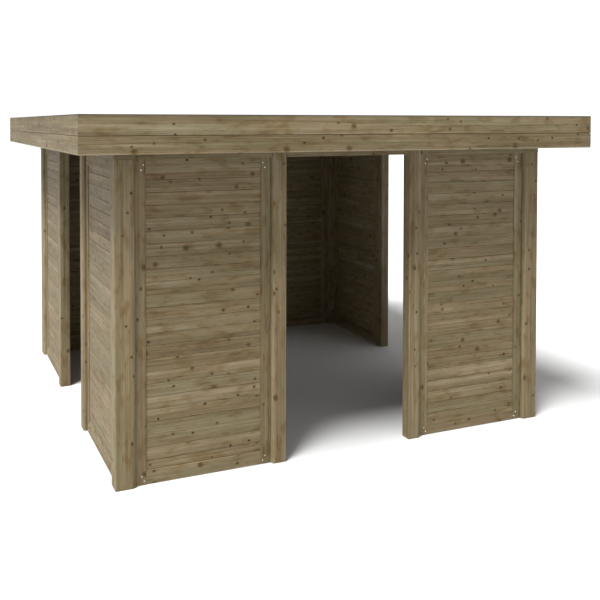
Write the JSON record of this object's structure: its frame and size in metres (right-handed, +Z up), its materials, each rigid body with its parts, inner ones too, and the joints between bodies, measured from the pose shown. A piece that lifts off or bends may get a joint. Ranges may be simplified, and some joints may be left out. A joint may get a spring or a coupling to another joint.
{
  "type": "garden pergola",
  "caption": "Square flat-roofed timber garden pergola with boarded corner panels between posts and an open doorway in the middle of each side.",
  "frame": {"origin": "centre of the plan at ground level", "axes": "+Z up, -Y is the front, +X is the right side seen from the front"},
  "size_m": [3.712, 3.712, 2.264],
  "materials": {
    "post_timber": "planed pressure-treated pine, weathered olive brown",
    "panel_timber": "planed pressure-treated pine boards in a planed frame, weathered olive brown",
    "beam_timber": "planed pressure-treated pine, weathered olive brown",
    "roof_timber": "sawn pressure-treated pine",
    "fascia_timber": "planed pressure-treated pine boards, weathered olive brown",
    "deck_boards": "sawn pressure-treated pine boards",
    "roof_felt": "matt dark flat-roof covering"
  },
  "bodies": {
    "root": {"corner_post_front_left": "post_timber", "corner_post_front_right": "post_timber", "corner_post_rear_right": "post_timber", "corner_post_rear_left": "post_timber", "jamb_post_front_left": "post_timber", "jamb_post_front_right": "post_timber", "jamb_post_right_front": "post_timber", "jamb_post_right_rear": "post_timber", "jamb_post_rear_right": "post_timber", "jamb_post_rear_left": "post_timber", "jamb_post_left_rear": "post_timber", "jamb_post_left_front": "post_timber", "wall_panel_front_left": "panel_timber", "wall_panel_front_right": "panel_timber", "wall_panel_right_front": "panel_timber", "wall_panel_right_rear": "panel_timber", "wall_panel_rear_right": "panel_timber", "wall_panel_rear_left": "panel_timber", "wall_panel_left_rear": "panel_timber", "wall_panel_left_front": "panel_timber", "header_beam_front": "beam_timber", "header_beam_right": "beam_timber", "header_beam_rear": "beam_timber", "header_beam_left": "beam_timber", "roof_joist_1": "roof_timber", "roof_joist_2": "roof_timber", "roof_joist_3": "roof_timber", "roof_joist_4": "roof_timber", "roof_joist_5": "roof_timber", "rim_board_front": "roof_timber", "rim_board_right": "roof_timber", "rim_board_rear": "roof_timber", "rim_board_left": "roof_timber", "fascia_upper_front": "fascia_timber", "fascia_upper_right": "fascia_timber", "fascia_upper_rear": "fascia_timber", "fascia_upper_left": "fascia_timber", "fascia_lower_front": "fascia_timber", "fascia_lower_right": "fascia_timber", "fascia_lower_rear": "fascia_timber", "fascia_lower_left": "fascia_timber", "roof_deck": "deck_boards", "roof_covering": "roof_felt"}
  },
  "joints": []
}
